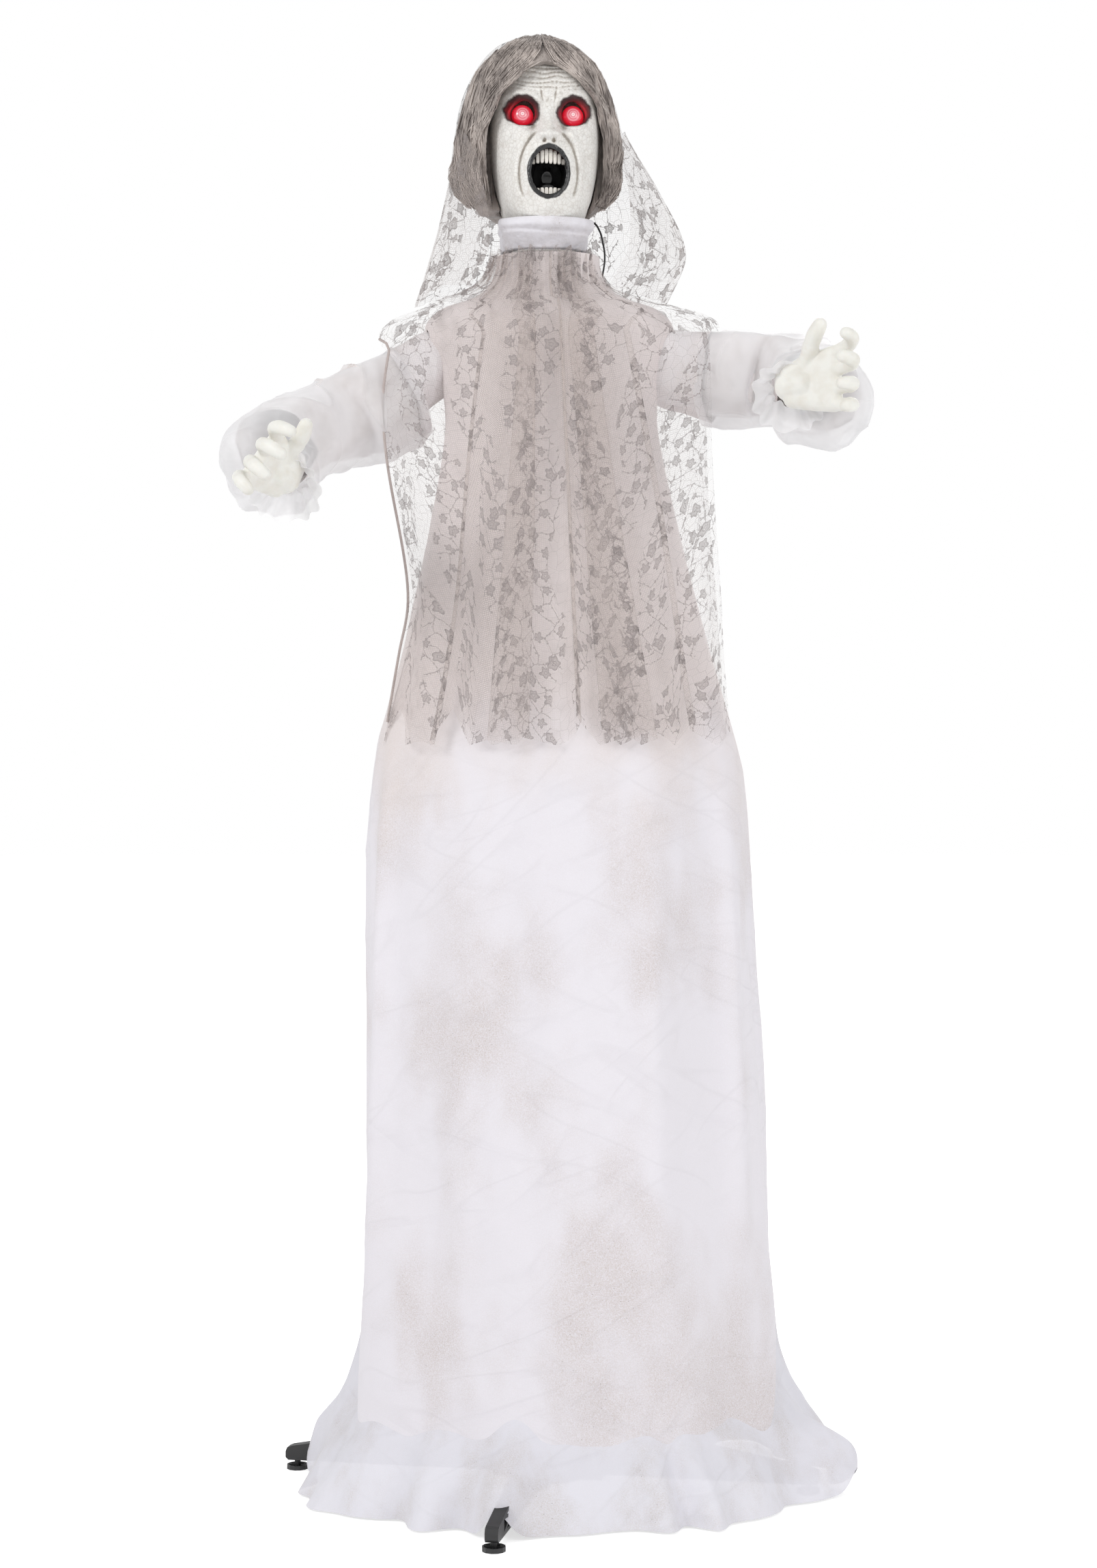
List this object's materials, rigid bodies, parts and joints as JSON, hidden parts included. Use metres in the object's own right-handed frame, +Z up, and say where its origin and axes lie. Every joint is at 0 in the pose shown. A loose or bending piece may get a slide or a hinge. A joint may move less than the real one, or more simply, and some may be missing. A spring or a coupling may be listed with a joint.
{
  "type": "animated standing banshee figure",
  "caption": "Life-size standing ghoul figure on a folding cross base, with a motor-turned moulded head, glowing eyes, posable arms, gown, lace poncho and veil.",
  "frame": {"origin": "on the floor under the pole, in the middle of the cross base", "axes": "+Z up along the pole, -Y the way the figure faces, +X its left side"},
  "size_m": [0.7787, 0.6864, 1.833],
  "materials": {
    "black_plastic": "moulded, fine texture",
    "steel": "drawn tube",
    "mask_vinyl": "off-white vinyl with painted wrinkles and sockets",
    "hand_vinyl": "ivory-white moulded vinyl with a parting line",
    "gown_cloth": "sheer off-white cloth sprayed warm grey",
    "sleeve_cloth": "sheer white cloth over sprayed lining",
    "lace": "floral lace over net, grey",
    "hair": "grey-brown synthetic hair",
    "red_lens": "translucent red dome, lit from behind",
    "lamp_clear": "clear lamp on a disc",
    "tooth_paint": "aged ivory paint",
    "mouth_paint": "glossy black",
    "gear_plastic": "natural moulded",
    "board": "green solder mask",
    "cell_jacket": "plain jacket",
    "cable": "black two-core lead"
  },
  "bodies": {
    "stand": {"base_hub": "black_plastic", "leg_front": "black_plastic", "leg_rear": "black_plastic", "leg_left": "black_plastic", "leg_right": "black_plastic", "foot_front": "black_plastic", "foot_rear": "black_plastic", "foot_left": "black_plastic", "foot_right": "black_plastic", "lower_pole": "steel", "middle_pole": "steel", "upper_pole": "steel", "chest_front_cover": "black_plastic", "chest_rear_cover": "black_plastic", "battery_cell_1": "cell_jacket", "battery_cell_2": "cell_jacket", "battery_cell_3": "cell_jacket", "speaker": "black_plastic", "circuit_board": "board", "drive_plate": "steel", "drive_motor": "steel", "shoulder_bar": "steel", "shoulder_fork_left": "black_plastic", "shoulder_fork_right": "black_plastic", "shoulder_pin_left": "steel", "shoulder_pin_right": "steel", "gown": "gown_cloth", "underskirt": "gown_cloth", "lace_poncho": "lace"},
    "head": {"neck_shaft": "steel", "neck_gear": "gear_plastic", "face_mask": "mask_vinyl", "head_back": "mask_vinyl", "eye_lens_left": "red_lens", "eye_lens_right": "red_lens", "eye_lamp_left": "lamp_clear", "eye_lamp_right": "lamp_clear", "upper_teeth": "tooth_paint", "lower_teeth": "tooth_paint", "mouth_liner": "mouth_paint", "neck_band": "gown_cloth", "wig": "hair", "veil": "lace", "head_lead": "cable"},
    "pinion": {"motor_pinion": "gear_plastic"},
    "battery_door": {"battery_door": "black_plastic"},
    "power_switch": {"power_switch": "black_plastic"},
    "snap_button_lower": {"snap_button_lower": "steel"},
    "snap_button_upper": {"snap_button_upper": "steel"},
    "upper_arm_left": {"upper_arm_left": "black_plastic", "sleeve_left": "sleeve_cloth"},
    "forearm_left": {"forearm_left": "black_plastic", "elbow_pin_left": "steel"},
    "hand_left": {"hand_left": "hand_vinyl"},
    "upper_arm_right": {"upper_arm_right": "black_plastic", "sleeve_right": "sleeve_cloth"},
    "forearm_right": {"forearm_right": "black_plastic", "elbow_pin_right": "steel"},
    "hand_right": {"hand_right": "hand_vinyl"}
  },
  "joints": [
    {"name": "head_turn", "type": "hinge", "parent": "stand", "child": "head", "pos_m": [-0.006, 0, 1.422], "axis": [0, 0, 1], "range_deg": [-40, 40], "deforming": ["veil", "head_lead"]},
    {"name": "pinion_spin", "type": "hinge", "parent": "stand", "child": "pinion", "pos_m": [0.0252, 0, 1.422], "axis": [0, 0, 1], "range_deg": [-120, 120]},
    {"name": "battery_door_hinge", "type": "hinge", "parent": "stand", "child": "battery_door", "pos_m": [0, 0.0342, 1.3122], "axis": [-1, 0, 0], "range_deg": [0, 55]},
    {"name": "power_switch_slide", "type": "slide", "parent": "stand", "child": "power_switch", "axis": [1, 0, 0], "range_m": [0, 0.004]},
    {"name": "snap_button_lower_press", "type": "slide", "parent": "stand", "child": "snap_button_lower", "axis": [0, 1, 0], "range_m": [0, 0.0035], "stiffness_N_per_m": 150},
    {"name": "snap_button_upper_press", "type": "slide", "parent": "stand", "child": "snap_button_upper", "axis": [0, 1, 0], "range_m": [0, 0.0035], "stiffness_N_per_m": 150},
    {"name": "shoulder_left", "type": "hinge", "parent": "stand", "child": "upper_arm_left", "pos_m": [0.15, 0.014, 1.445], "axis": [-0.3252, -0.9456, 0], "range_deg": [-25, 20], "deforming": ["sleeve_left", "lace_poncho"]},
    {"name": "elbow_left", "type": "hinge", "parent": "upper_arm_left", "child": "forearm_left", "pos_m": [0.30544, -0.03946, 1.43064], "axis": [0.0347, 0.3521, -0.9353], "range_deg": [-30, 30], "deforming": ["sleeve_left"]},
    {"name": "wrist_left", "type": "hinge", "parent": "forearm_left", "child": "hand_left", "pos_m": [0.28436, -0.24603, 1.3521], "axis": [-0.0949, -0.9305, -0.3538], "range_deg": [-40, 40], "deforming": ["sleeve_left"]},
    {"name": "shoulder_right", "type": "hinge", "parent": "stand", "child": "upper_arm_right", "pos_m": [-0.15, 0.014, 1.445], "axis": [-0.3261, 0.9453, 0], "range_deg": [-25, 20], "deforming": ["sleeve_right", "lace_poncho"]},
    {"name": "elbow_right", "type": "hinge", "parent": "upper_arm_right", "child": "forearm_right", "pos_m": [-0.2877, -0.03349, 1.36749], "axis": [-0.2881, -0.4987, 0.8175], "range_deg": [-30, 30], "deforming": ["sleeve_right"]},
    {"name": "wrist_right", "type": "hinge", "parent": "forearm_right", "child": "hand_right", "pos_m": [-0.31367, -0.21752, 1.24607], "axis": [-0.117, -0.8289, -0.547], "range_deg": [-40, 40], "deforming": ["sleeve_right"]}
  ],
  "couplings": [
    {"joint": "pinion_spin", "follows": "head_turn", "ratio": -3}
  ]
}
